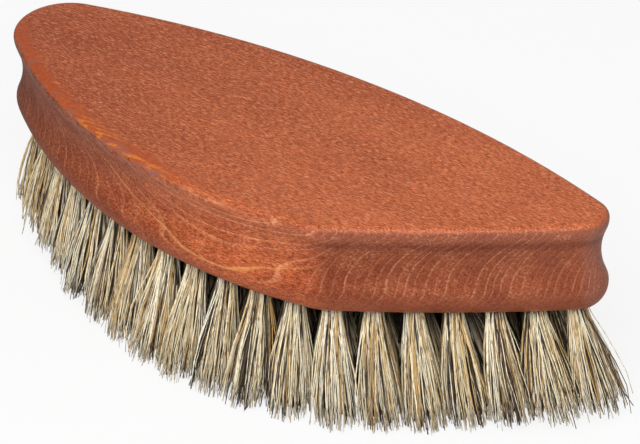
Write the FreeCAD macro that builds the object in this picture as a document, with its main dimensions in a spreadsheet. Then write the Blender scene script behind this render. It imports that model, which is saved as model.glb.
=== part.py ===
import FreeCAD, Part

import math
import os

import Sketcher
from FreeCAD import Placement, Rotation, Vector

doc = FreeCAD.newDocument("shoe_shine_brush")

# Driving sizes, lengths in millimetres and angles in degrees
sizes = [
    # Plan of the wooden block: three rounded corners joined by three bowed sides
    ("tip_span", 140.4),  # between the centres of the two end corners
    ("blunt_tip_radius", 12.6),
    ("narrow_tip_radius", 7.0),
    ("belly_station", 91.0),  # belly corner's centre along the span, from the blunt tip
    ("belly_offset", 23.3),  # belly corner's centre to the side of the span
    ("belly_radius", 15.4),
    ("back_side_radius", 258.0),
    ("long_side_radius", 126.5),  # from the blunt tip to the belly
    ("short_side_radius", 380.0),  # from the belly to the narrow tip
    # Moulded edge of the block, from the top face down
    ("top_round", 1.7),
    ("rim_radius", 5.2),  # both rims, where they turn into the finger groove
    ("rim_spacing", 16.4),  # between the two rims, at their widest
    ("groove_radius", 14.9),
    ("lower_round_radius", 6.6),
    ("lower_round_angle", 65.4),  # how far the lower round turns under
    # Blind bores for the tufts
    ("hole_diameter", 5.2),  # across the flats of an eight-sided bore
    ("hole_depth", 9.0),
    ("bore_clearance", 0.05),  # round a tuft or a staple in its bore
    # Layout of the bores on the lower face
    ("edge_margin", 7.2),  # block's widest line to the outer row
    ("row_gap", 8.2),
    ("second_row_round", 4.5),  # least bend of the second row at the tips
    ("tuft_pitch", 8.8),
    ("outer_lean_angle", 11.0),
    ("second_lean_angle", 5.0),
    # Tufts of hair, folded over a staple and trimmed to one plane
    ("bristle_length", 28.0),  # lower face to the trimmed ends
    ("neck_length", 1.0),  # straight stretch below the mouth of the bore
    ("swell_length", 13.0),  # below the mouth, where most of the spread is done
    ("swell_share", 0.75),
    ("tuft_gap", 0.4),  # between the trimmed ends in a row
    # Flat wire staples
    ("staple_width", 2.0),
    ("staple_thickness", 0.4),
    ("fold_thickness", 1.0),  # hair between a staple and the end of its bore
    # Extra reach of cutting tools
    ("overrun", 3.0),
]
sheet = doc.addObject("Spreadsheet::Sheet", "Sizes")
for row, (name, value) in enumerate(sizes, start=1):
    sheet.set(f"A{row}", name)
    sheet.set(f"B{row}", str(value))
    sheet.setAlias(f"B{row}", name)
doc.recompute()


def size(name):
    return float(sheet.get(name))


def origin_plane(body, role):
    return next(f for f in body.Origin.OriginFeatures if f.Role == role)


def new_sketch(body, name, role):
    sketch = body.newObject("Sketcher::SketchObject", name)
    sketch.AttachmentSupport = [(origin_plane(body, role), "")]
    sketch.MapMode = "FlatFace"
    return sketch


def rule(sketch, *terms):
    sketch.addConstraint(Sketcher.Constraint(*terms))


def measure(sketch, name, expression, *terms):
    # A dimension whose value follows the sheet
    index = sketch.addConstraint(Sketcher.Constraint(*terms))
    sketch.renameConstraint(index, name)
    sketch.setExpression(f"Constraints.{name}", expression)


def arc(centre, radius, start, end):
    # Counter-clockwise arc in the sketch plane, angles in radians
    if end < start:
        end += 2 * math.pi
    return Part.ArcOfCircle(Part.Circle(centre, Vector(0, 0, 1), radius), start, end)


def heading(start, end):
    return math.atan2(end.y - start.y, end.x - start.x)


def side_centre(first, second, first_radius, second_radius, side_radius):
    # Centre of the side arc that touches two corner arcs, met in counter-clockwise order
    span = (second - first).Length
    reach_first = side_radius - first_radius
    reach_second = side_radius - second_radius
    along = (reach_first**2 - reach_second**2 + span**2) / (2 * span)
    across = math.sqrt(reach_first**2 - along**2)
    direction = (second - first).normalize()
    inward = Vector(-direction.y, direction.x, 0)
    return first + direction * along + inward * across


# Where each level of the block lies above the trimmed ends
lower_face = size("bristle_length")
lower_turn = math.radians(size("lower_round_angle"))
lower_rim = lower_face + size("lower_round_radius") * math.sin(lower_turn)
upper_rim = lower_rim + size("rim_spacing")
top_face = upper_rim + size("top_round")


# Wooden block: plan, pad and moulded edge
block_body = doc.addObject("PartDesign::Body", "block_blank")
plan = new_sketch(block_body, "BlockPlan", "XY_Plane")
plan.setExpression("AttachmentOffset.Base.z", "Sizes.bristle_length")

# How a sketch numbers its origin, its axis and the points of an arc
origin_point, x_axis = (-1, 1), -1
start_end, finish_end, middle = range(1, 4)
corners = {
    "blunt_tip": Vector(0, 0, 0),
    "belly": Vector(size("belly_station"), -size("belly_offset"), 0),
    "narrow_tip": Vector(size("tip_span"), 0, 0),
}
side_ends = {
    "long_side": ("blunt_tip", "belly"),
    "short_side": ("belly", "narrow_tip"),
    "back_side": ("narrow_tip", "blunt_tip"),
}
centres = dict(corners)
for side, (first, second) in side_ends.items():
    centres[side] = side_centre(
        corners[first],
        corners[second],
        size(f"{first}_radius"),
        size(f"{second}_radius"),
        size(f"{side}_radius"),
    )
# Bearing of the joint between each side and each corner, the same from both centres
joints = {
    (side, corner): heading(centres[side], centres[corner])
    for side, ends in side_ends.items()
    for corner in ends
}
# The blunt tip is split at its outermost point, where the edge profile starts
plan_arcs = [
    ("blunt_tip", math.pi, joints["long_side", "blunt_tip"]),
    ("long_side", joints["long_side", "blunt_tip"], joints["long_side", "belly"]),
    ("belly", joints["long_side", "belly"], joints["short_side", "belly"]),
    ("short_side", joints["short_side", "belly"], joints["short_side", "narrow_tip"]),
    ("narrow_tip", joints["short_side", "narrow_tip"], joints["back_side", "narrow_tip"]),
    ("back_side", joints["back_side", "narrow_tip"], joints["back_side", "blunt_tip"]),
    ("blunt_tip", joints["back_side", "blunt_tip"], math.pi),
]
for name, start, end in plan_arcs:
    plan.addGeometry(arc(centres[name], size(f"{name}_radius"), start, end))
last = len(plan_arcs) - 1
for index in range(last):
    rule(plan, "Tangent", index, finish_end, index + 1, start_end)
rule(plan, "Coincident", last, finish_end, 0, start_end)
rule(plan, "Coincident", last, middle, 0, middle)
rule(plan, "Coincident", 0, middle, *origin_point)
rule(plan, "PointOnObject", 0, start_end, x_axis)
order = [name for name, _, _ in plan_arcs]
for name in dict.fromkeys(order):
    index = order.index(name)
    measure(plan, f"{name}_radius", f"Sizes.{name}_radius", "Radius", index, size(f"{name}_radius"))
belly, narrow_tip = order.index("belly"), order.index("narrow_tip")
rule(plan, "PointOnObject", narrow_tip, middle, x_axis)
measure(
    plan, "tip_span", "Sizes.tip_span",
    "DistanceX", *origin_point, narrow_tip, middle, size("tip_span"),
)
measure(
    plan, "belly_station", "Sizes.belly_station",
    "DistanceX", *origin_point, belly, middle, size("belly_station"),
)
measure(
    plan, "belly_offset", "Sizes.belly_offset",
    "DistanceY", belly, middle, *origin_point, size("belly_offset"),
)

block_pad = block_body.newObject("PartDesign::Pad", "BlockPad")
block_pad.Profile = plan
lower_drop = "Sizes.lower_round_radius * sin(Sizes.lower_round_angle * 1 deg)"
block_pad.setExpression("Length", f"{lower_drop} + Sizes.rim_spacing + Sizes.top_round")
doc.recompute()

# What the moulding cutter takes off, drawn where the blunt tip is outermost
edge = new_sketch(block_body, "EdgeProfile", "XZ_Plane")
widest = -size("blunt_tip_radius")
groove_turn = math.asin(size("rim_spacing") / 2 / (size("rim_radius") + size("groove_radius")))
groove_reach = (size("rim_radius") + size("groove_radius")) * math.cos(groove_turn)
edge_arcs = [
    ("top_round", size("top_round"), upper_rim, math.pi / 2, math.pi),
    ("rim_radius", size("rim_radius"), upper_rim, math.pi, math.pi + groove_turn),
    (
        "groove_radius", size("rim_radius") - groove_reach,
        lower_rim + size("rim_spacing") / 2, -groove_turn, groove_turn,
    ),
    ("rim_radius", size("rim_radius"), lower_rim, math.pi - groove_turn, math.pi),
    ("lower_round_radius", size("lower_round_radius"), lower_rim, math.pi, math.pi + lower_turn),
]
for name, inset, level, start, end in edge_arcs:
    edge.addGeometry(arc(Vector(widest + inset, level, 0), size(name), start, end))
top_arc, upper_arc, groove_arc, lower_arc, under_arc = range(len(edge_arcs))
under_inset = size("lower_round_radius") * (1 - math.cos(lower_turn))
outside = widest - size("overrun")
corner_points = [
    Vector(widest + under_inset, lower_face, 0),
    Vector(widest + under_inset, lower_face - size("overrun"), 0),
    Vector(outside, lower_face - size("overrun"), 0),
    Vector(outside, top_face + size("overrun"), 0),
    Vector(widest + size("top_round"), top_face + size("overrun"), 0),
    Vector(widest + size("top_round"), top_face, 0),
]
below, beneath, beside, above, over = [
    edge.addGeometry(Part.LineSegment(start, end))
    for start, end in zip(corner_points, corner_points[1:])
]
rule(edge, "Tangent", top_arc, finish_end, upper_arc, start_end)
rule(edge, "Tangent", upper_arc, finish_end, groove_arc, finish_end)
rule(edge, "Tangent", groove_arc, start_end, lower_arc, start_end)
rule(edge, "Tangent", lower_arc, finish_end, under_arc, start_end)
rule(edge, "Coincident", under_arc, finish_end, below, start_end)
for line, following in zip((below, beneath, beside, above), (beneath, beside, above, over)):
    rule(edge, "Coincident", line, finish_end, following, start_end)
rule(edge, "Coincident", over, finish_end, top_arc, start_end)
for line in (below, beside, over):
    rule(edge, "Vertical", line)
for line in (beneath, above):
    rule(edge, "Horizontal", line)
rule(edge, "Vertical", top_arc, start_end, top_arc, middle)
rule(edge, "Horizontal", top_arc, finish_end, top_arc, middle)
rule(edge, "Horizontal", lower_arc, finish_end, lower_arc, middle)
rule(edge, "Vertical", top_arc, finish_end, under_arc, start_end)
measure(edge, "top_round", "Sizes.top_round", "Radius", top_arc, size("top_round"))
measure(edge, "upper_rim_radius", "Sizes.rim_radius", "Radius", upper_arc, size("rim_radius"))
measure(edge, "groove_radius", "Sizes.groove_radius", "Radius", groove_arc, size("groove_radius"))
measure(edge, "lower_rim_radius", "Sizes.rim_radius", "Radius", lower_arc, size("rim_radius"))
measure(
    edge, "lower_round_radius", "Sizes.lower_round_radius",
    "Radius", under_arc, size("lower_round_radius"),
)
measure(
    edge, "widest", "Sizes.blunt_tip_radius",
    "DistanceX", under_arc, start_end, *origin_point, size("blunt_tip_radius"),
)
measure(
    edge, "lower_rim", f"Sizes.bristle_length + {lower_drop}",
    "DistanceY", *origin_point, under_arc, start_end, lower_rim,
)
measure(
    edge, "rim_spacing", "Sizes.rim_spacing",
    "DistanceY", under_arc, start_end, top_arc, finish_end, size("rim_spacing"),
)
measure(
    edge, "lower_drop", lower_drop,
    "DistanceY", under_arc, finish_end, under_arc, start_end, lower_rim - lower_face,
)
measure(
    edge, "overrun_below", "Sizes.overrun",
    "DistanceY", below, finish_end, below, start_end, size("overrun"),
)
measure(
    edge, "overrun_above", "Sizes.overrun",
    "DistanceY", over, finish_end, over, start_end, size("overrun"),
)
measure(
    edge, "overrun_beside", "Sizes.overrun",
    "DistanceX", beside, start_end, under_arc, start_end, size("overrun"),
)
moulding = block_body.newObject("PartDesign::SubtractivePipe", "EdgeMoulding")
moulding.Profile = edge
moulding.Spine = plan
doc.recompute()


# One tuft place with the mouth of its bore at the origin and the wood above it
tuft_sides = 8


def faceted(levels):
    # Closed solid through regular polygons, each a height and a width across flats
    half_turn = math.pi / tuft_sides
    bearings = [half_turn * (2 * side + 1) for side in range(tuft_sides)]
    rings = []
    for height, width in levels:
        radius = width / 2 / math.cos(half_turn)
        rings.append([Vector(radius * math.cos(b), radius * math.sin(b), height) for b in bearings])
    outlines = [rings[0], rings[-1]]
    for low, high in zip(rings, rings[1:]):
        for side in range(tuft_sides):
            outlines.append([low[side - 1], low[side], high[side], high[side - 1]])
    shell = Part.makeShell([Part.Face(Part.makePolygon(line + line[:1])) for line in outlines])
    solid = Part.makeSolid(shell)
    if solid.Volume < 0:
        solid.reverse()
    return solid


def add_part(label, shape):
    part = doc.addObject("Part::Feature", label)
    part.Label = label
    part.Shape = shape
    return part


bore = add_part(
    "bore_tool",
    faceted([(-size("overrun"), size("hole_diameter")), (size("hole_depth"), size("hole_diameter"))]),
)
root_width = size("hole_diameter") - 2 * size("bore_clearance")
tip_width = size("tuft_pitch") - size("tuft_gap")
swell_width = root_width + size("swell_share") * (tip_width - root_width)
tuft = add_part(
    "tuft_blank",
    faceted([
        (size("hole_depth"), root_width),
        (-size("neck_length"), root_width),
        (-size("swell_length"), swell_width),
        (-size("bristle_length") - size("overrun"), tip_width),
    ]),
)
staple = doc.addObject("Part::Box", "staple_blank")
staple.setExpression("Length", "Sizes.hole_diameter - 2 * Sizes.bore_clearance")
staple.setExpression("Width", "Sizes.staple_thickness")
staple.setExpression("Height", "Sizes.staple_width")
staple.setExpression("Placement.Base.x", "Sizes.bore_clearance - Sizes.hole_diameter / 2")
staple.setExpression("Placement.Base.y", "-Sizes.staple_thickness / 2")
staple.setExpression(
    "Placement.Base.z", "Sizes.hole_depth - Sizes.fold_thickness - Sizes.staple_width"
)


def offset_path(name, source, distance, join):
    path = doc.addObject("Part::Offset2D", name)
    path.Source = source
    path.setExpression("Value", distance)
    path.Join = join
    return path


# Lines on the lower face that run inside the block's widest line
outer_path = offset_path("OuterRow", plan, "-Sizes.edge_margin", "Intersection")
second_core = offset_path(
    "SecondRowCore", plan,
    "-(Sizes.edge_margin + Sizes.row_gap + Sizes.second_row_round)", "Intersection",
)
second_path = offset_path("SecondRow", second_core, "Sizes.second_row_round", "Arc")
field_path = offset_path("FieldEdge", plan, "-(Sizes.edge_margin + 2 * Sizes.row_gap)", "Intersection")
doc.recompute()


def row_places(wire, lean):
    # Evenly spaced places round a row from the narrow tip, leaning outwards
    edges = Part.__sortEdges__(wire.Edges)
    first = max(range(len(edges)), key=lambda i: edges[i].firstVertex(True).X)
    loop = Part.Wire(edges[first:] + edges[:first])
    count = int(loop.Length / size("tuft_pitch"))
    marks = loop.discretize(Number=2 * count + 1)[:-1]
    places = []
    stretch = 3
    for index in range(0, len(marks), 2):
        # The lean follows a stretch of the row, so it fans out evenly round a corner
        along = marks[(index + stretch) % len(marks)] - marks[index - stretch]
        outward = along.cross(Vector(0, 0, 1))
        if outward.dot(marks[index] - loop.CenterOfMass) < 0:
            outward = -outward
        turn = Rotation(Vector(0, 0, 1), math.degrees(math.atan2(outward.y, outward.x)))
        places.append(Placement(marks[index], turn * Rotation(Vector(0, 1, 0), -lean)))
    return places


def field_places(wire):
    # Straight lines of upright tufts that fill the middle
    face = Part.Face(wire)
    box = face.BoundBox
    lines = int(box.YLength / size("tuft_pitch")) + 1
    places = []
    for line in range(lines):
        y = box.Center.y + (line - (lines - 1) / 2) * size("tuft_pitch")
        chord = face.common(
            Part.makeLine(Vector(box.XMin, y, lower_face), Vector(box.XMax, y, lower_face))
        ).BoundBox
        count = int(chord.XLength / size("tuft_pitch")) + 1
        start = chord.Center.x - (count - 1) / 2 * size("tuft_pitch")
        for index in range(count):
            mouth = Vector(start + index * size("tuft_pitch"), y, lower_face)
            places.append(Placement(mouth, Rotation()))
    return places


def placed(blank, place):
    shape = blank.Shape.copy()
    shape.Placement = place * shape.Placement
    return shape


# Everything below the plane that the tufts are trimmed to
reach = plan.Shape.BoundBox
reach.enlarge(size("bristle_length"))
trimmings = Part.makeBox(
    reach.XLength, reach.YLength, size("bristle_length"),
    Vector(reach.XMin, reach.YMin, -size("bristle_length")),
)


def trimmed_tuft(place):
    return placed(tuft, place).cut([placed(staple, place), trimmings]).Solids[0]


def add_group(label, shapes):
    return add_part(label, Part.makeCompound(shapes))


rows = {
    "outer_row": row_places(outer_path.Shape.Wires[0], size("outer_lean_angle")),
    "second_row": row_places(second_path.Shape.Wires[0], size("second_lean_angle")),
    "middle_rows": field_places(field_path.Shape.Wires[0]),
}
all_places = [place for places in rows.values() for place in places]

# Sub-parts
bores = add_group("bores", [placed(bore, place) for place in all_places])
wood_block = doc.addObject("Part::Cut", "wood_block")
wood_block.Label = "wood_block"
wood_block.Base = block_body
wood_block.Tool = bores
sub_parts = [wood_block]
for number, place in enumerate(rows["outer_row"], start=1):
    sub_parts.append(add_part(f"outer_tuft_{number:02d}", trimmed_tuft(place)))
for row in ("second_row", "middle_rows"):
    sub_parts.append(add_group(f"{row}_tufts", [trimmed_tuft(place) for place in rows[row]]))
for row, places in rows.items():
    sub_parts.append(add_group(f"{row}_staples", [placed(staple, place) for place in places]))
doc.recompute()

# The origin lies under the middle of the whole brush, at the trimmed ends
whole = plan.Shape.BoundBox
for part in sub_parts[1:]:
    whole.add(part.Shape.BoundBox)
for part in sub_parts:
    part.Placement = Placement(Vector(-whole.Center.x, -whole.Center.y, 0), Rotation()) * part.Placement
doc.recompute()

for item in doc.Objects:
    if "Invalid" in item.State or "Error" in item.State:
        raise RuntimeError(f"{item.Label} did not build: {item.State}")
for part in sub_parts:
    if part.Shape.isNull() or not part.Shape.isValid():
        raise RuntimeError(f"{part.Label} has no valid shape")

os.makedirs("parts", exist_ok=True)
for part in sub_parts:
    part.Shape.exportStep(os.path.join("parts", f"{part.Label}.step"))
for row, places in rows.items():
    print(row, len(places))
print("size", [round(v, 2) for v in (whole.XLength, whole.YLength, top_face)])
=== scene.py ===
import math
from types import SimpleNamespace

import bpy
import numpy as np
from mathutils import Matrix, Vector


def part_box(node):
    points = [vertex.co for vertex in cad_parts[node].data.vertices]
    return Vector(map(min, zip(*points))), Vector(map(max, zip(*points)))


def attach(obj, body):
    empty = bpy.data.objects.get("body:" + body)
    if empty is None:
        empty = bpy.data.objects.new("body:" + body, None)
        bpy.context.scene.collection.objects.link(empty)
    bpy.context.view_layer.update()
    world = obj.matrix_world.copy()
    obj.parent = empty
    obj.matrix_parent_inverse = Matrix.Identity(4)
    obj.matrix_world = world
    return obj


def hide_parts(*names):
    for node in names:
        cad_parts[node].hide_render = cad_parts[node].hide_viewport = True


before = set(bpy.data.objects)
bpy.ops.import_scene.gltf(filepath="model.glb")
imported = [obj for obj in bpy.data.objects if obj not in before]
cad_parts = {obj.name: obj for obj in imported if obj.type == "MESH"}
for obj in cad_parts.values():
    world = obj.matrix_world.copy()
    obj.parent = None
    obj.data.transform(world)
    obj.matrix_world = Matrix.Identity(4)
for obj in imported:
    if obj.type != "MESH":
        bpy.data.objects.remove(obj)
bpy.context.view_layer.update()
scene = bpy.context.scene
print("frame loaded,", len(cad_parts), "nodes")

blockLow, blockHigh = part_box("wood_block")
lowerFace = blockLow.z  # where the tufts leave the wood
mm = 0.001


# Shader sums read as plain Python
class Wire:
    def __init__(self, tree, socket=None):
        self.tree = tree
        self.socket = socket

    def node(self, kind, settings=None, values=None, out=0):
        made = self.tree.nodes.new(kind)
        for name, value in (settings or {}).items():
            if name == "stops":
                stops = made.color_ramp.elements
                while len(stops) < len(value):
                    stops.new(0.5)
                for stop, (place, colour) in zip(stops, value):
                    stop.position = place
                    stop.color = (*colour, 1)
            else:
                setattr(made, name, value)
        for name, value in (values or {}).items():
            if isinstance(value, Wire):
                self.tree.links.new(value.socket, made.inputs[name])
            else:
                made.inputs[name].default_value = value
        return Wire(self.tree, made.outputs[out])

    def sum(self, operation, first, second=0.0):
        return self.node("ShaderNodeMath", {"operation": operation}, {0: first, 1: second})

    def __add__(self, other):
        return self.sum("ADD", self, other)

    def __radd__(self, other):
        return self.sum("ADD", other, self)

    def __sub__(self, other):
        return self.sum("SUBTRACT", self, other)

    def __rsub__(self, other):
        return self.sum("SUBTRACT", other, self)

    def __mul__(self, other):
        return self.sum("MULTIPLY", self, other)

    def __rmul__(self, other):
        return self.sum("MULTIPLY", other, self)

    def __truediv__(self, other):
        return self.sum("DIVIDE", self, other)

    def __rtruediv__(self, other):
        return self.sum("DIVIDE", other, self)

    def __pow__(self, other):
        return self.sum("POWER", self, other)

    # from low to high becomes 0 to 1 with soft ends
    def between(self, low, high):
        values = {"Value": self, "From Min": low, "From Max": high}
        return self.node("ShaderNodeMapRange", {"interpolation_type": "SMOOTHSTEP"}, values)

    # this wire is the share of the second colour
    def mix(self, first, second, blend="MIX"):
        settings = {"data_type": "RGBA", "blend_type": blend}
        return self.node("ShaderNodeMix", settings, {0: self, 6: first, 7: second}, out=2)

    def noise(self, place, scale, detail=2.0, roughness=0.5):
        stretched = self.node("ShaderNodeVectorMath", {"operation": "MULTIPLY"}, {0: place, 1: scale})
        values = {"Vector": stretched, "Scale": 1.0, "Detail": detail, "Roughness": roughness}
        return self.node("ShaderNodeTexNoise", None, values)


def newFinish(name):
    finish = bpy.data.materials.new(name)
    finish.use_nodes = True
    shader = finish.node_tree.nodes["Principled BSDF"]
    return finish, Wire(finish.node_tree), shader


def feed(wire, shader, name):
    wire.tree.links.new(wire.socket, shader.inputs[name])


def rgb(red, green, blue):
    return (red, green, blue, 1.0)


# Object coordinates, in millimetres
def millimetres(wire):
    place = wire.node("ShaderNodeTexCoord", out=3)
    return wire.node("ShaderNodeVectorMath", {"operation": "SCALE"}, {0: place, "Scale": 1000.0})


def axes(vector):
    return [vector.node("ShaderNodeSeparateXYZ", None, {0: vector}, out=i) for i in range(3)]


def showOnly(piece):
    bpy.ops.object.select_all(action="DESELECT")
    piece.select_set(True)
    bpy.context.view_layer.objects.active = piece


def dress(piece, finish):
    piece.data.materials.clear()
    piece.data.materials.append(finish)


# Stained beech, lengths in millimetres
# The long side runs from the blunt tip to the belly corner, the straight side from there to the narrow tip
beech = {
    "deep": rgb(0.195, 0.029, 0.004),
    "fair": rgb(0.75, 0.196, 0.070),
    "dashPale": rgb(0.79, 0.33, 0.16),
    "poreFair": rgb(0.72, 0.27, 0.11),
    "ringPale": rgb(0.79, 0.36, 0.18),
    "boldPale": rgb(0.80, 0.35, 0.12),
    "endDull": rgb(0.13, 0.110, 0.26),
    # stain and painted shade of the blunt end
    "bluntStainAndShade": rgb(0.15, 0.10, 0.08),
    # painted sheen on the sides near the narrow tip
    "tipPaintedSheen": rgb(0.42, 0.26, 0.22),
    # painted highlight on the rim
    "rimSheenPale": rgb(0.54, 0.205, 0.135),
    # painted highlight on the rim of the long side
    "rimGlowHighlight": rgb(0.37, 0.056, 0.006),
    "rimFlameHighlight": rgb(0.80, 0.31, 0.07),
    "biteDull": rgb(0.27, 0.095, 0.060),
    "roughness": 0.48,
    "fleckMatt": 0.12,  # dark flecks are rougher by this, light ones smoother
    "longMatt": 0.14,  # the long side is rougher by this
    "gloss": 0.2,
    "lacquerRoughness": 0.32,
    "rimLacquer": 0.05,
    "bump": (0.12, 0.0002),  # strength, and height in metres
    "relief": (0.6, 0.3, 0.4, 0.5),  # of fibres, flecks and streaks, and how deep rings lie
    # levels of the moulded edge
    "lipLevel": 34.2,  # the lower edge is turned smooth below this
    "rimLevel": 46.0,
    "underRim": 47.2,
    "underShadeBand": (2.6, 1.2),  # how far the painted shade below the rim reaches below and above that
    "rimBand": (48.0, 51.6),
    "bowCentre": (6.5, 96.4),  # of the long side's arc, in x and y
    "bowRadius": 126.5,
    # growth rings
    "pith": (272.0, -85.0),  # heart of the tree in y and z, far behind and below the block
    "runOut": -0.036,  # slope of the rings along x
    "ringGap": 1.15,
    "ringDrift": 2.0,
    "ringWaver": 0.35,
    "gapNoise": (0.3, 0.8),  # how fast the gaps change, and by how much
    "lateWood": (0.75, 0.93),  # where in a year's growth its pale line begins and is full
    "ringMark": (0.70, 0.22),  # how much the rings differ, and the faintest one
    "ringFade": (0.9, 0.85, 0.15),  # on the hand face, the lower edge and the long side
    "ringShare": (0.76, 0.16),  # all over, and more on the straight side
    "boldRing": 323.0,  # one ring stands out on the long side
    "boldBend": (42.0, 35.0, 1.8),  # between these levels it leaves its round by the last number
    "boldEnd": (45.0, 10.0),  # it fades out along x
    "boldShare": 0.55,
    # noise along x, y and z in cycles per millimetre, then detail and roughness
    "grain": {
        "drift": ((0.010, 0.030, 0.030), 1.0, 0.5),
        "waver": ((0.05, 0.22, 0.22), 2.0, 0.5),
        "grit": ((1.1, 1.9, 1.9), 2.0, 0.7),
        "fibre": ((0.80, 3.8, 3.8), 3.0, 0.85),
        "speck": ((1.9, 2.9, 2.9), 1.5, 0.6),
        "pits": ((0.85, 4.6, 4.6), 1.0, 0.5),
        "dashes": ((0.75, 5.4, -5.4), 1.0, 0.5),
        "streak": ((0.12, 1.4, 1.4), 2.0, 0.5),
        "cloud": ((0.028, 0.09, 0.09), 2.0, 0.5),
        "mottle": ((0.11, 0.20, 0.20), 3.0, 0.6),
        "flame": ((0.055, 1.3, 1.3), 2.5, 0.55),
        "tooth": ((0.05, 0.95, 0.95), 1.5, 0.5),
    },
    # how much each moves the tone between deep and fair
    "baseTone": 0.35,
    "fibreGain": (3.2, 1.9),  # all over, and less where the grain is cut across
    "lightGain": (0.42, 0.12),  # all over, and less on the sides
    "darkGain": (0.42, 0.17),
    "speckGain": 0.7,
    "streakGain": 0.36,
    "cloudGain": 0.34,
    "seasonGain": 0.07,
    "mottleGain": (0.5, 0.05),  # and the sides are darker by the second number
    "lengthFalloffGain": 0.0012,  # painted light falloff, paler towards the narrow end, for each millimetre
    "bluntShadeGain": (40.0, 0.0006),  # and more so behind this x
    "cornerGain": 0.05,  # paler by the belly corner of the hand face
    "dashShare": 0.46,
    "poreShare": (0.5, 0.3),  # all over, and more where the grain is cut across
    "tipSheenShare": 0.14,
    "underShadeShare": 0.32,
    "rimSheenShare": (0.40, 0.08),  # times the grit, less the second number
    # the painted highlight on the rim of the long side
    "glowReach": (5.0, 1.2),  # fades in towards the rim over these distances
    "glowEnds": (6.0, -24.0),  # and along x
    "glowShare": 0.78,
    "lickEnds": (-58.0, -34.0),
    "lickShare": 0.7,
    "flameReach": 8.0,  # how far noise moves the edges of the glow
    "toothReach": 7.5,
    "biteEnds": (4.0, -18.0),
    "biteShare": 0.75,
}


# What the finish knows about a point of the block
def readBlock(wire):
    place = millimetres(wire)
    x, y, z = axes(place)
    nx, _, nz = axes(wire.node("ShaderNodeTexCoord", out=1))
    flat = nz.between(0.25, 0.9)  # 1 on the hand face, 0 on the sides
    sides = 1.0 - flat
    at = SimpleNamespace(x=x, y=y, z=z, nx=nx, nz=nz, flat=flat, sides=sides)
    at.straight = sides * nx.between(0.05, 0.35)
    at.cutAcross = sides * nx.between(0.05, 0.45)  # the straight side cuts the grain at an angle
    at.lip = z.between(beech["lipLevel"] + 1.0, beech["lipLevel"] - 1.0)
    for name, settings in beech["grain"].items():
        setattr(at, name, wire.noise(place, *settings))
    at.dark = at.pits.between(0.54, 0.74)
    at.light = at.dashes.between(0.55, 0.74)
    return at


# Rings round the heart with uneven gaps, as the season of the year, the pale lines and the bold one
def growthRings(wire, at):
    side = at.y - beech["pith"][0]
    rise = at.z - beech["pith"][1]
    plain = (side * side + rise * rise) ** 0.5 + at.x * beech["runOut"]
    radius = plain + at.drift * beech["ringDrift"] + at.waver * beech["ringWaver"]
    oneWay = {"noise_dimensions": "1D"}
    often, uneven = beech["gapNoise"]
    gaps = wire.node("ShaderNodeTexNoise", oneWay, {"W": radius * often, "Scale": 1.0, "Detail": 1.0})
    turns = radius / beech["ringGap"] + gaps * uneven
    year = wire.sum("FLOOR", turns)
    season = turns - year
    mark = wire.node("ShaderNodeTexWhiteNoise", oneWay, {"W": year})
    differ, least = beech["ringMark"]
    ring = season.between(*beech["lateWood"]) * season.between(1.0, 0.985) * (mark * differ + least)
    onFace, onLip, onLong = beech["ringFade"]
    ring = ring * at.grit.between(0.34, 0.60) * (1.0 - onFace * at.flat) * (1.0 - onLip * at.lip)
    ring = ring * (1.0 - onLong * at.nx.between(0.0, -0.4))
    high, low, bend = beech["boldBend"]
    fromBold = plain - at.z.between(high, low) * bend + at.waver * 0.4 - beech["boldRing"]
    bold = fromBold.between(-0.24, 0.0) * fromBold.between(0.10, 0.02)
    bold = bold * at.grit.between(0.20, 0.55) * at.sides
    return season, ring, bold


# Pores, ray flecks and clouds of stain, from deep at 0 to fair at 1
def woodTone(wire, at, season):
    whole, less = beech["fibreGain"]
    tone = beech["baseTone"] + (at.fibre - 0.5) * (whole - less * at.cutAcross)
    tone = tone + (at.speck - 0.5) * beech["speckGain"] * at.sides
    tone = tone + (at.streak - 0.5) * beech["streakGain"]
    whole, less = beech["lightGain"]
    tone = tone + at.light * (whole - less * at.sides)
    whole, less = beech["darkGain"]
    tone = tone - at.dark * (whole - less * at.sides)
    tone = tone + (at.cloud - 0.5) * beech["cloudGain"] + (season - 0.5) * beech["seasonGain"]
    gain, drop = beech["mottleGain"]
    tone = tone + ((at.mottle - 0.5) * gain - drop) * at.sides
    # painted light falloff along the length, darker still at the blunt end
    start, gain = beech["bluntShadeGain"]
    tone = tone + at.x * beech["lengthFalloffGain"] + wire.sum("MINIMUM", at.x - start, 0.0) * gain
    corner = at.y.between(-10.0, -27.0) * at.x.between(-10.0, 15.0) * at.flat
    return tone + corner * beech["cornerGain"]


# Painted highlight along the rim of the long side: an orange glow with flame-like licks
def paintedRimHighlight(at, colour):
    bowX = at.x - beech["bowCentre"][0]
    bowY = at.y - beech["bowCentre"][1]
    inward = beech["bowRadius"] - (bowX * bowX + bowY * bowY) ** 0.5
    inward = inward + (at.flame - 0.5) * beech["flameReach"]
    upper = at.z.between(beech["rimLevel"], beech["rimLevel"] + 3.0)
    torn = (at.nz + (at.flame - 0.5) * 1.2).between(0.30, 0.60)
    glow = inward.between(*beech["glowReach"]) * at.x.between(*beech["glowEnds"]) * torn * upper
    colour = (glow * beech["glowShare"]).mix(colour, beech["rimGlowHighlight"])
    lick = at.flame.between(0.49, 0.60) * at.x.between(*beech["lickEnds"]) * (0.5 + at.light * 0.6)
    colour = (glow * lick * beech["lickShare"]).mix(colour, beech["rimFlameHighlight"])
    # where the painted highlight ends, the duller side bites into it in teeth along the grain
    bite = (inward + (at.tooth - 0.5) * beech["toothReach"]).between(0.3, -0.3)
    bite = bite * at.x.between(*beech["biteEnds"]) * upper
    return (bite * beech["biteShare"]).mix(colour, beech["biteDull"])


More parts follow.
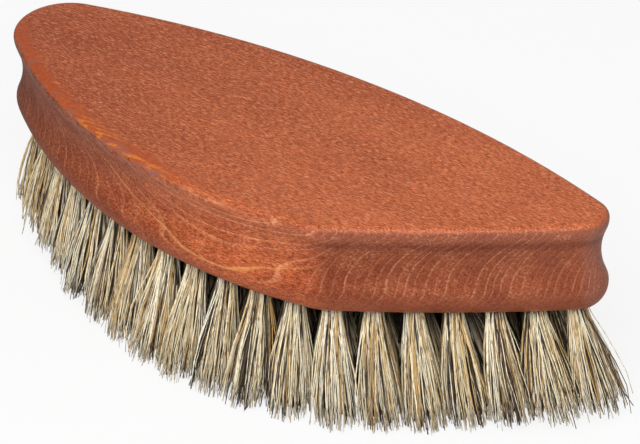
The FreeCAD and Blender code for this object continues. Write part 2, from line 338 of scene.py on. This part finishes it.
def stainedBeech():
    finish, wire, shader = newFinish("stainedBeech")
    at = readBlock(wire)
    season, ring, bold = growthRings(wire, at)
    colour = woodTone(wire, at, season).mix(beech["deep"], beech["fair"])
    colour = (at.light * at.flat * beech["dashShare"]).mix(colour, beech["dashPale"])
    pores = at.grit.between(0.53, 0.64) * at.mottle.between(0.43, 0.60) * at.sides * (1.0 - 0.8 * at.lip)
    some, more = beech["poreShare"]
    colour = (pores * (some + more * at.cutAcross)).mix(colour, beech["poreFair"])
    some, more = beech["ringShare"]
    colour = (ring * (some + more * at.straight)).mix(colour, beech["ringPale"])
    colour = (bold * at.x.between(*beech["boldEnd"]) * beech["boldShare"]).mix(colour, beech["boldPale"])
    # end grain drinks more stain, and is darkened further as painted shade, most at the blunt end
    endStainAndShade = wire.sum("MAXIMUM", at.nx * -1.0, wire.sum("MINIMUM", at.nx, 0.5)) * at.sides
    dull = at.nx.between(-0.1, 0.1).mix(beech["bluntStainAndShade"], beech["endDull"])
    colour = endStainAndShade.mix(colour, dull, "MULTIPLY")
    # painted sheen, paler on the sides towards the narrow tip
    colour = (at.sides * at.nx.between(0.5, 0.9) * beech["tipSheenShare"]).mix(colour, beech["tipPaintedSheen"])
    # painted shade below the rim on the straight side
    level = beech["underRim"]
    below, above = beech["underShadeBand"]
    under = at.z.between(level - below, level) * at.z.between(level + above, level) * at.straight
    colour = (under * beech["underShadeShare"]).mix(colour, beech["deep"], "MULTIPLY")
    # and the rim above it gets a painted highlight, paler in grit patches, and more lacquer
    low, high = beech["rimBand"]
    sheenAndLacquer = at.z.between(low, low + 1.2) * at.z.between(high + 0.4, high - 0.6) * at.nx.between(-0.30, 0.20)
    gain, drop = beech["rimSheenShare"]
    colour = (sheenAndLacquer * (at.grit * gain - drop)).mix(colour, beech["rimSheenPale"])
    feed(sheenAndLacquer * beech["rimLacquer"], shader, "Coat Weight")
    shader.inputs["Coat Roughness"].default_value = beech["lacquerRoughness"]
    feed(paintedRimHighlight(at, colour), shader, "Base Color")
    matt = at.sides * at.nx.between(-0.05, -0.5) * beech["longMatt"]
    feed(beech["roughness"] + (at.dark - at.light) * beech["fleckMatt"] + matt, shader, "Roughness")
    shader.inputs["Specular IOR Level"].default_value = beech["gloss"]
    strength, height = beech["bump"]
    fibres, flecks, streaks, rings = beech["relief"]
    relief = at.fibre * fibres + at.light * flecks - at.dark * flecks + at.streak * streaks - ring * rings
    bump = wire.node("ShaderNodeBump", None, {"Strength": strength, "Distance": height, "Height": relief})
    feed(bump, shader, "Normal")
    return finish


# The block keeps its solid's shape, merged so that it shades smoothly
def shapeBlock():
    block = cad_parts["wood_block"].copy()
    block.data = block.data.copy()
    block.name = "stainedBlock"
    scene.collection.objects.link(block)
    block.parent = None
    showOnly(block)
    bpy.ops.object.mode_set(mode="EDIT")
    bpy.ops.mesh.select_all(action="SELECT")
    bpy.ops.mesh.remove_doubles(threshold=1e-6)
    bpy.ops.object.mode_set(mode="OBJECT")
    bpy.ops.object.shade_smooth_by_angle(angle=math.radians(35))
    bpy.ops.object.modifier_add(type="WEIGHTED_NORMAL")
    block.modifiers[-1].keep_sharp = True
    bpy.ops.object.modifier_apply(modifier=block.modifiers[-1].name)
    return block


block = shapeBlock()
for key in [k for k in block.keys() if k.startswith("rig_")]:
    del block[key]  # the copy is a new piece, not the CAD node
dress(block, stainedBeech())
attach(block, "root")
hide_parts("wood_block")
print("block shaped,", len(block.data.polygons), "faces")


# Mixed horsehair: a hair's own shade comes from its tone, which runs from 0 to 1
horsehair = {
    "shades": [
        (0.00, (0.016, 0.009, 0.005)),
        (0.14, (0.046, 0.025, 0.011)),
        (0.26, (0.170, 0.095, 0.042)),
        (0.38, (0.480, 0.430, 0.330)),
        (0.50, (0.640, 0.390, 0.130)),
        (0.64, (0.880, 0.690, 0.390)),
        (0.82, (0.970, 0.860, 0.590)),
        (1.00, (0.980, 0.920, 0.760)),
    ],
    "roughness": 0.36,
    "gloss": 0.55,
    "patchScale": (1.5, 1.5, 0.45),
    "patchShare": (4.2, 0.10),  # painted shade in patches: how strongly patches differ, and how much of them is left out
    "patchShade": rgb(0.30, 0.21, 0.12),
    "dusk": rgb(0.055, 0.039, 0.028),
    "rootShade": rgb(0.022, 0.015, 0.011),
    "tip": (0.82, 0.17),  # where along a hair its darker end begins, and how dark it gets
    # how far along a hair its root is darkened, and how much: painted shade, deepest in the inner rows
    "outerRootShade": (0.12, 0.10),
    "innerRootShade": (0.90, 1.0),
}


def mixedHorsehair(name, root):
    finish, wire, shader = newFinish(name)
    tone = wire.node("ShaderNodeAttribute", {"attribute_name": "tone"}, out=2)
    along = wire.node("ShaderNodeAttribute", {"attribute_name": "along"}, out=2)
    patch = wire.noise(millimetres(wire), horsehair["patchScale"])
    colour = tone.node("ShaderNodeValToRGB", {"stops": horsehair["shades"]}, {0: tone})
    # painted shade in patches among the hairs
    strong, less = horsehair["patchShare"]
    colour = ((patch - 0.5) * strong - less).mix(colour, horsehair["patchShade"], "MULTIPLY")
    start, share = horsehair["tip"]
    colour = (along.between(start, 1.0) * share).mix(colour, horsehair["dusk"])
    # painted shade towards the roots
    reach, depth = root
    colour = (along.between(reach, 0.0) * depth).mix(colour, horsehair["rootShade"])
    feed(colour, shader, "Base Color")
    feed(horsehair["roughness"] + (patch - 0.5) * 0.2, shader, "Roughness")
    shader.inputs["Specular IOR Level"].default_value = horsehair["gloss"]
    return finish


# One hair, a unit tall, cut into rings that each tuft bends its own way
oneHair = {"sides": 3, "rings": 5}


def modelHair():
    bpy.ops.object.select_all(action="DESELECT")
    bpy.ops.mesh.primitive_cylinder_add(vertices=oneHair["sides"], radius=1, depth=1, location=(0, 0, 0.5))
    hair = bpy.context.object
    bpy.ops.object.transform_apply(location=True, rotation=True, scale=True)
    bpy.ops.object.mode_set(mode="EDIT")
    for cut in range(1, oneHair["rings"]):
        bpy.ops.mesh.select_all(action="SELECT")
        bpy.ops.mesh.bisect(plane_co=(0, 0, cut / oneHair["rings"]), plane_no=(0, 0, 1))
    bpy.ops.object.mode_set(mode="OBJECT")
    points = np.array([v.co for v in hair.data.vertices])
    faces = [list(p.vertices) for p in hair.data.polygons]
    bpy.data.objects.remove(hair)
    return points, faces


hairPoints, hairFaces = modelHair()
hairLoops = np.concatenate(hairFaces)
hairSizes = np.array([len(f) for f in hairFaces])
hairAlong = hairPoints[:, 2]
hairTurn = np.arctan2(hairPoints[:, 1], hairPoints[:, 0])


# Where a hair lies on the map of its tuft: a strip per face loop, u round the hair and v along it
def hairMap():
    spots = []
    for face in hairFaces:
        turns = np.mod(hairTurn[face] / (2 * math.pi), 1.0)
        if turns.max() - turns.min() > 0.5 and len(face) == 4:
            turns = np.where(turns < 0.4, turns + 1.0, turns)  # the face across the seam
        v = hairAlong[face].copy()
        if len(face) == 3:
            v = v + np.array([0.0, 0.0, 0.02]) * (1 if v.mean() < 0.5 else -1)  # gives a cap some area
        spots.append(np.c_[turns * 0.75, v])
    return np.concatenate(spots)


hairSpots = hairMap()
hairField = {"tall": 8, "margin": 0.08}  # each hair's field on the map, in widths and shares of it

# Where a tuft's line is read, as shares of the height of the lower face
tuftLine = {"neck": (0.88, 0.999), "swell": (0.40, 0.70)}


# Each closed shell of a CAD node is one tuft: its mouth on the lower face, and the way it leans
def tuftPlaces(node):
    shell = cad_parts[node].copy()
    shell.data = shell.data.copy()
    scene.collection.objects.link(shell)
    shell.parent = None
    showOnly(shell)
    bpy.ops.object.mode_set(mode="EDIT")
    bpy.ops.mesh.select_all(action="SELECT")
    bpy.ops.mesh.remove_doubles(threshold=1e-6)
    bpy.ops.mesh.separate(type="LOOSE")
    bpy.ops.object.mode_set(mode="OBJECT")
    places = []
    for loose in list(bpy.context.selected_objects):
        points = np.array([v.co for v in loose.data.vertices])
        height = points[:, 2] / lowerFace
        neck, swell = (points[(height > a) & (height < b)].mean(0) for a, b in tuftLine.values())
        lean = (swell - neck) / np.linalg.norm(swell - neck)
        mouth = neck + lean * (lowerFace - neck[2]) / lean[2]
        places.append((mouth, lean))
        bpy.data.objects.remove(loose)
    return places


# Lengths in millimetres, shares of 1
outerTuft = {
    "seed": 700,
    "hairs": 270,
    "rootRadius": 1.85,
    "tipRadius": 5.4,
    "tipSpread": (0.86, 0.24),  # the least share of that radius, and how much it varies
    "fan": ((50.0, 66.0), (1.0, 1.22)),  # tufts at both ends spread wider, by distance along x
    "hairRadius": (0.12, 0.205),
    "taper": 0.45,
    "darkGain": 1.12,  # dark hairs are thicker than pale ones
    "darkTone": 0.3,
    "flare": 1.3,  # above 1, the hairs part soon after the wood
    "bow": 0.85,
    "wave": 0.21,
    "beat": (1.2, 1.6),  # fewest waves along a hair, and how many more
    "crossing": 0.66,  # how far hairs turn round the tuft, in radians
    # how far tips are brushed aside, by x, towards a point beyond the narrow end
    "comb": ((10.0, 35.0, 55.0, 68.0, 76.0), (0.0, 2.6, 3.8, 3.8, 0.8)),
    "combTo": (90.0, 8.0),
    # how far tips stand further out, by x
    "splay": (
        (-72.0, -60.0, -44.0, -28.0, -14.0, 0.0, 12.0, 22.0, 40.0, 50.0),
        (-2.6, -1.8, 0.0, 0.0, 1.9, 1.9, 1.6, 0.9, 1.2, 0.0),
    ),
    "bend": 1.4,  # above 1, combing and splaying bend the tips more than the roots
    # how high above the lowest hair ends a tuft is cut, by x
    "trim": (
        (-80.0, -65.0, -56.0, -46.0, -36.0, -24.0, 46.0, 56.0, 66.0, 80.0),
        (3.2, 3.8, 4.6, 2.8, 1.6, 0.6, 0.2, 1.6, 2.5, 2.0),
    ),
    "lowest": 0.08,  # level of the lowest hair ends
    "ragged": 0.9,
    "shortShare": 0.10,
    "shortBy": (1.0, 7.0),  # least, and how much more at most
    "strayShare": 0.035,
    "strayBy": (0.6, 1.4),
    "strayBow": 1.7,
    "locks": 34,
    "lockRim": 0.92,  # how far out the locks reach
    "lockTurn": 2.39996,  # from lock to lock, in radians
    "lockScatter": 0.45,
    "lockShare": 0.7,
    "lockTint": 0.04,
    "alike": 0.42,  # share of hairs that take the shade of their lock
    "core": 0.55,  # hairs nearer the middle of the tuft than this share are mostly dark, as painted shade inside the tuft
    "inside": 1.6,  # how deep in the wood the hairs start
    # shade bands of the tone scale, and how often each is drawn
    "bands": ((0.74, 1.0, 0.56), (0.46, 0.60, 0.18), (0.34, 0.44, 0.04), (0.0, 0.24, 0.22)),
    "coreBands": ((0.72, 1.0, 0.12), (0.46, 0.60, 0.10), (0.34, 0.44, 0.05), (0.0, 0.24, 0.73)),
}
innerTuft = dict(
    outerTuft,
    seed=500,
    hairs=235,
    tipRadius=7.2,
    fan=((42.0, 58.0), (1.0, 1.34)),
    hairRadius=(0.18, 0.25),
    strayShare=0.02,
    # more dark hairs than in the outer tufts, as painted shade in the inner rows
    bands=((0.74, 1.0, 0.40), (0.46, 0.60, 0.18), (0.34, 0.44, 0.08), (0.0, 0.24, 0.34)),
    coreBands=((0.74, 1.0, 0.36), (0.46, 0.60, 0.18), (0.34, 0.44, 0.08), (0.0, 0.24, 0.38)),
)
fullTurn = 6.28


def unit(vector):
    return vector / np.linalg.norm(vector)


def drawTones(bands, count, rng):
    low, high, often = np.array(bands).T
    band = rng.choice(len(bands), count, p=often)
    return low[band] + (high - low)[band] * rng.random(count)


# Random numbers that start at the first of a pair and vary by the second
def draw(pair, rng, shape):
    least, more = pair
    return least + more * rng.random(shape)


def onCircle(turn, reach):
    return np.c_[np.cos(turn), np.sin(turn)] * reach[:, None]


# Hairs of one tuft, as points for each hair and the tone of each
def growTuft(mouth, lean, look, rng):
    count = look["hairs"]
    upright = abs(lean[2]) >= 0.9999
    across = unit(np.array([1.0, 0.0, 0.0]) if upright else np.cross(lean, (0.0, 0.0, 1.0)))
    other = np.cross(lean, across)
    mouthX = mouth[0] / mm
    reach = np.sqrt(rng.random(count))
    turn = rng.random(count) * 2 * math.pi
    rootXY = onCircle(turn, reach * look["rootRadius"])
    tipTurn = turn + rng.normal(0, look["crossing"], count)
    tipRadius = look["tipRadius"] * np.interp(abs(mouthX), *look["fan"])
    tipOff = tipRadius * reach * draw(look["tipSpread"], rng, count)
    stray = rng.random(count) < look["strayShare"]
    tipOff = np.where(stray, tipOff + draw(look["strayBy"], rng, count), tipOff)
    tipXY = onCircle(tipTurn, tipOff)
    # hairs gather into small locks towards their ends
    lockNumber = np.arange(look["locks"])
    lockReach = np.sqrt((lockNumber + 0.5) / look["locks"]) * tipRadius * look["lockRim"]
    locks = onCircle(lockNumber * look["lockTurn"] + rng.random() * fullTurn, lockReach)
    locks += rng.normal(0, look["lockScatter"], locks.shape)
    own = np.argmin(((tipXY[:, None] - locks[None]) ** 2).sum(2), axis=1)
    pull = look["lockShare"] * rng.random(count)
    pull[stray] = 0
    tipXY += (locks[own] - tipXY) * pull[:, None]

    # how far along the lean each hair runs until its end is at its level
    length = mouth[2] / -lean[2] / mm
    endLevel = np.abs(rng.normal(0, look["ragged"], count)) + look["lowest"]
    endLevel = endLevel + np.interp(mouthX, *look["trim"])
    short = rng.random(count) < look["shortShare"]
    least, more = look["shortBy"]
    endLevel = np.where(short, endLevel + least + more * rng.random(count) ** 2, endLevel)
    tipRise = tipXY[:, 0] * across[2] + tipXY[:, 1] * other[2]
    run = length - (endLevel - tipRise) / -lean[2]
    start = -look["inside"]
    along = np.linspace(0, 1, oneHair["rings"] + 1)
    s = start + along[None] * (run - start)[:, None]
    share = np.clip(s / run[:, None], 0, 1)
    # the line of each hair: parting, bowed and waving
    spread = 1 - (1 - share) ** look["flare"]
    offXY = rootXY[:, None] + (tipXY - rootXY)[:, None] * spread[..., None]
    bowXY = rng.normal(0, look["bow"], (count, 2)) * np.where(stray, look["strayBow"], 1.0)[:, None]
    offXY += bowXY[:, None] * (np.sin(math.pi * share) * share)[..., None]
    phase = rng.random((count, 2)) * fullTurn
    beat = draw(look["beat"], rng, (count, 2))
    ripple = np.sin(share[..., None] * beat[:, None] * fullTurn + phase[:, None]) * share[..., None]
    offXY += ripple * look["wave"]
    line = mouth + mm * (s[..., None] * lean + offXY[..., :1] * across + offXY[..., 1:] * other)
    # then combed and splayed
    brushed = unit(np.array(look["combTo"]) - mouth[:2] / mm) * np.interp(mouthX, *look["comb"])
    outward = lean[:2] / max(np.linalg.norm(lean[:2]), 0.01)
    brushed = brushed + outward * np.interp(mouthX, *look["splay"])
    line[..., :2] += mm * brushed * (share ** look["bend"])[..., None]

    lockTone = drawTones(look["bands"], look["locks"], rng)[own] + rng.normal(0, look["lockTint"], count)
    tone = np.where(rng.random(count) < look["alike"], lockTone, drawTones(look["bands"], count, rng))
    # painted shade: hairs deep in the tuft draw dark tones
    tone = np.where(reach < look["core"], drawTones(look["coreBands"], count, rng), tone)
    thick = rng.uniform(*look["hairRadius"], count) * mm
    thick = thick * np.where(tone < look["darkTone"], look["darkGain"], 1.0)
    taper = 1 - look["taper"] * share**2
    level = np.rint(hairAlong * oneHair["rings"]).astype(int)
    spin = hairTurn[None] + rng.random(count)[:, None] * fullTurn
    ring = thick[:, None] * taper[:, level]
    points = line[:, level]
    points = points + ring[..., None] * (np.cos(spin)[..., None] * across + np.sin(spin)[..., None] * other)
    points[..., 2] = np.maximum(points[..., 2], 0.02 * mm)  # never below the table
    return points, np.clip(tone, 0, 1)


# All hairs of a piece become one mesh, with its map and the two values its finish reads
def weaveTufts(name, tufts):
    points = np.concatenate([p for p, _ in tufts])
    tone = np.concatenate([t for _, t in tufts])
    count, each = points.shape[:2]
    mesh = bpy.data.meshes.new(name)
    mesh.vertices.add(count * each)
    mesh.vertices.foreach_set("co", points.ravel())
    loops = (hairLoops[None] + np.arange(count)[:, None] * each).ravel()
    mesh.loops.add(len(loops))
    mesh.loops.foreach_set("vertex_index", loops)
    sizes = np.tile(hairSizes, count)
    mesh.polygons.add(len(sizes))
    mesh.polygons.foreach_set("loop_start", np.r_[0, np.cumsum(sizes)[:-1]])
    mesh.polygons.foreach_set("use_smooth", np.ones(len(sizes), bool))
    mesh.update(calc_edges=True)
    for label, values in (("tone", np.repeat(tone, each)), ("along", np.tile(hairAlong, count))):
        store = mesh.attributes.new(label, "FLOAT", "POINT")
        store.data.foreach_set("value", values.astype(np.float32))
    bands = max(1, round(math.sqrt(count / hairField["tall"])))
    columns = math.ceil(count / bands)
    corner = np.c_[np.arange(count) % columns, np.arange(count) // columns].astype(float)
    margin = hairField["margin"]
    spots = (corner[:, None] + margin + hairSpots[None] * (1 - 2 * margin)) / (columns, bands)
    layer = mesh.uv_layers.new(name="OFBake")
    layer.uv.foreach_set("vector", spots.ravel().astype(np.float32))
    mesh.validate()
    piece = bpy.data.objects.new(name, mesh)
    scene.collection.objects.link(piece)
    return piece


def plantTufts(name, node, look, finish, number):
    rng = np.random.default_rng(look["seed"] + number)
    piece = weaveTufts(name, [growTuft(*p, look, rng) for p in tuftPlaces(node)])
    dress(piece, finish)
    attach(piece, "root")
    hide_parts(node)
    return len(piece.data.polygons)


outerFinish = mixedHorsehair("mixedHorsehair", horsehair["outerRootShade"])
innerFinish = mixedHorsehair("innerHorsehair", horsehair["innerRootShade"])
outerNodes = sorted(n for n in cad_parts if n.startswith("outer_tuft"))
innerNodes = {"secondRowHair": "second_row_tufts", "middleHair": "middle_rows_tufts"}
faceCount = 0
for number, node in enumerate(outerNodes, start=1):
    faceCount += plantTufts(f"outerHair_{number:02d}", node, outerTuft, outerFinish, number)
for number, (name, node) in enumerate(innerNodes.items()):
    faceCount += plantTufts(name, node, innerTuft, innerFinish, number)
print("tufts grown,", faceCount, "faces")


# Flat staple wire, hidden in the bores
staple = {
    "drawnScale": (0.4, 6.0, 6.0),
    "dull": rgb(0.46, 0.45, 0.43),
    "bright": rgb(0.70, 0.69, 0.66),
    "roughness": (0.28, 0.2),  # least, and how much more
}


def stapleWire():
    finish, wire, shader = newFinish("stapleWire")
    drawn = wire.noise(millimetres(wire), staple["drawnScale"], detail=3.0)
    feed(drawn.mix(staple["dull"], staple["bright"]), shader, "Base Color")
    least, more = staple["roughness"]
    feed(least + drawn * more, shader, "Roughness")
    shader.inputs["Metallic"].default_value = 1.0
    return finish


stapleFinish = stapleWire()
for node in ("outer_row_staples", "second_row_staples", "middle_rows_staples"):
    dress(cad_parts[node], stapleFinish)
print("staples dressed")


# A plain pale floor that shows white and keeps the shadow, and soft light, in metres and watts
studio = {
    "floorSize": 4.0,
    "floorLevel": -0.0001,
    "floorShade": rgb(0.80, 0.80, 0.80),
    "floorRoughness": 0.9,
    "floorGloss": 0.1,
    "floorWhite": 0.86,  # how much of the floor the camera sees as plain white
    "ambient": 0.28,
    # soft boxes: place, width, power
    "lamps": {
        "softKey": ((0.20, -0.36, 0.49), 0.35, 3.6),
        "softFill": ((-0.55, -0.75, 0.48), 0.60, 1.5),
        "softBack": ((0.10, 0.75, 0.80), 0.60, 0.6),
    },
    "lampAim": (0, 0, 0.03),
}


def paleFloor():
    bpy.ops.object.select_all(action="DESELECT")
    bpy.ops.mesh.primitive_plane_add(size=studio["floorSize"], location=(0, 0, studio["floorLevel"]))
    floor = bpy.context.object
    floor.name = "studioFloor"
    bpy.ops.object.transform_apply(location=True, rotation=True, scale=True)
    finish, wire, shader = newFinish("paleFloor")
    shader.inputs["Base Color"].default_value = studio["floorShade"]
    shader.inputs["Roughness"].default_value = studio["floorRoughness"]
    shader.inputs["Specular IOR Level"].default_value = studio["floorGloss"]
    seen = wire.node("ShaderNodeLightPath", out=0)
    white = wire.node("ShaderNodeEmission", None, {"Color": rgb(1, 1, 1), "Strength": 1.0})
    shade = Wire(wire.tree, shader.outputs[0])
    mixed = wire.node("ShaderNodeMixShader", None, {0: seen * studio["floorWhite"], 1: shade, 2: white})
    output = finish.node_tree.nodes["Material Output"]
    wire.tree.links.new(mixed.socket, output.inputs["Surface"])
    dress(floor, finish)


paleFloor()

# White to the camera, in reflections and through glass, dimmer as light on the object
world = bpy.data.worlds.new("studioWorld")
scene.world = world
world.use_nodes = True
sky = Wire(world.node_tree)
seen = sky.node("ShaderNodeLightPath", out=0)
shine = sky.node("ShaderNodeLightPath", out=3)
clear = sky.node("ShaderNodeLightPath", out=6)
bright = sky.sum("MINIMUM", seen + shine + clear, 1.0)
strength = studio["ambient"] + bright * (1.0 - studio["ambient"])
background = world.node_tree.nodes["Background"]
background.inputs["Color"].default_value = rgb(1, 1, 1)
sky.tree.links.new(strength.socket, background.inputs["Strength"])

for name, (place, width, power) in studio["lamps"].items():
    light = bpy.data.lights.new(name, "AREA")
    light.size = width
    light.energy = power
    lamp = bpy.data.objects.new(name, light)
    scene.collection.objects.link(lamp)
    lamp.location = place
    lamp.rotation_euler = (Vector(studio["lampAim"]) - Vector(place)).to_track_quat("-Z", "Y").to_euler()
print("studio lit")

# Camera as in the photograph, angles in degrees, lens and sensor in millimetres, the rest in metres
view = {
    "azimuth": 35.43,
    "elevation": 33.0,
    "roll": -1.0,
    "distance": 1.3209,
    "lens": 337.5,
    "sensor": 36.0,
    "middle": (0.10688, 0.00681, -0.0017),  # from the low x, low y and top of the block
    "far": 20.0,
}
azimuth, elevation = math.radians(view["azimuth"]), math.radians(view["elevation"])
back = Vector((
    math.sin(azimuth) * math.cos(elevation),
    -math.cos(azimuth) * math.cos(elevation),
    math.sin(elevation),
))
middle = Vector((blockLow.x, blockLow.y, blockHigh.z)) + Vector(view["middle"])
camera = bpy.data.objects.new("photoCamera", bpy.data.cameras.new("photoCamera"))
scene.collection.objects.link(camera)
camera.data.sensor_width = view["sensor"]
camera.data.lens = view["lens"]
camera.data.clip_end = view["far"]
camera.location = middle + back * view["distance"]
aim = back.to_track_quat("Z", "Y").to_matrix() @ Matrix.Rotation(math.radians(view["roll"]), 3, "Z")
camera.rotation_euler = aim.to_euler()
scene.camera = camera

scene.view_settings.view_transform = "Standard"

print("done")
